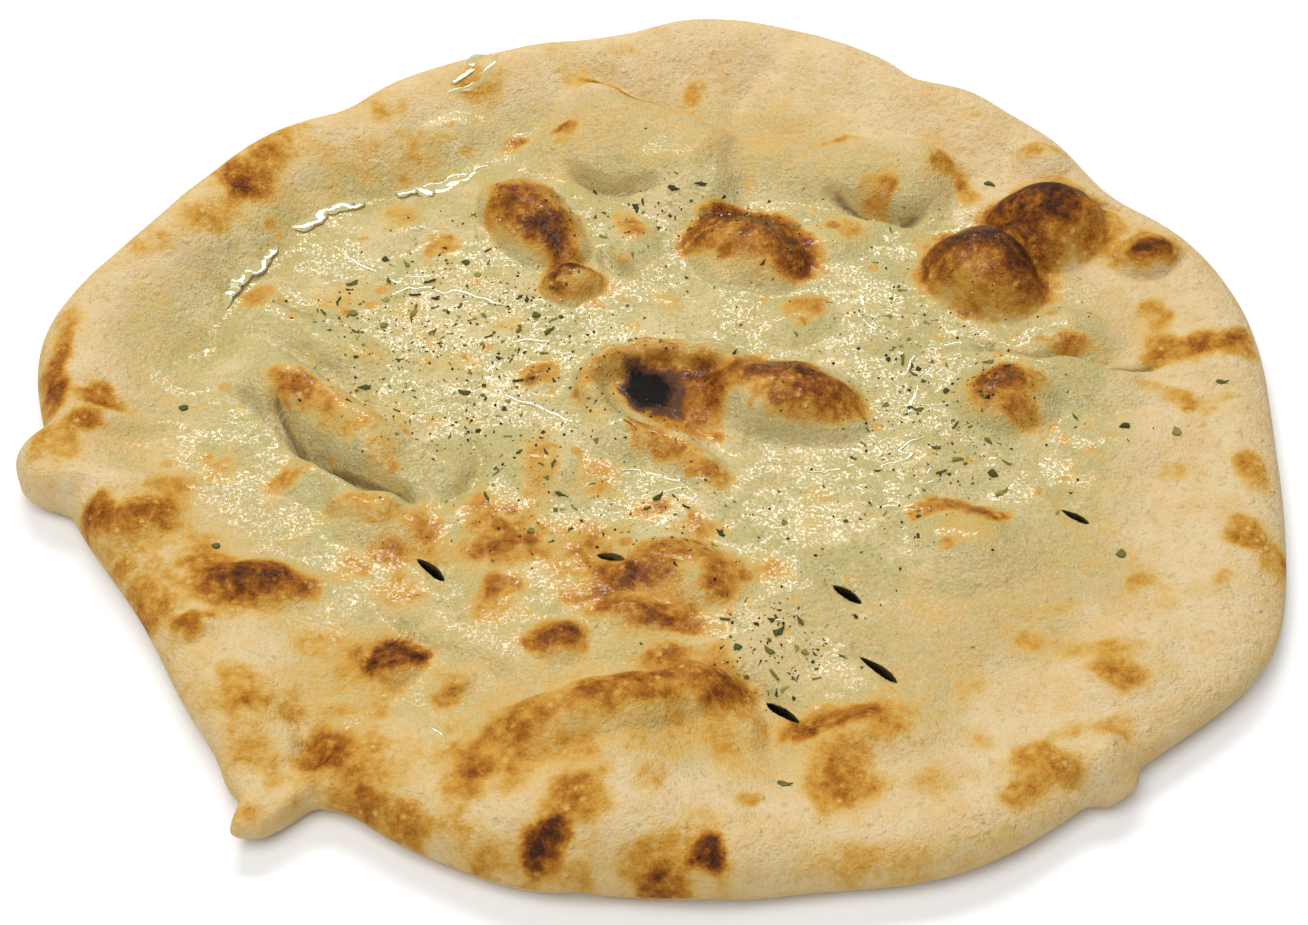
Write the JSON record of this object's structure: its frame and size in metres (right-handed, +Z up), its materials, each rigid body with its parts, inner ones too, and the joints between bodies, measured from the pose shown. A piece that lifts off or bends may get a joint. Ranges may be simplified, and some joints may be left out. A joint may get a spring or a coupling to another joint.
{
  "type": "pizza bread",
  "caption": "Flat oven-baked pizza bread with a puffed rim, brown blisters, folds, short slits and dried herb flakes on an oiled top.",
  "frame": {"origin": "centre of the bounding box in plan, on the flat underside that the bread lies on", "axes": "+Z up out of the oiled top, +X to the right along the bread's longest way, -Y towards the front edge with the large hump"},
  "size_m": [0.3122, 0.2854, 0.0222],
  "materials": {
    "crust": null
  },
  "bodies": {
    "root": {"pizza_bread": "crust"}
  },
  "joints": []
}
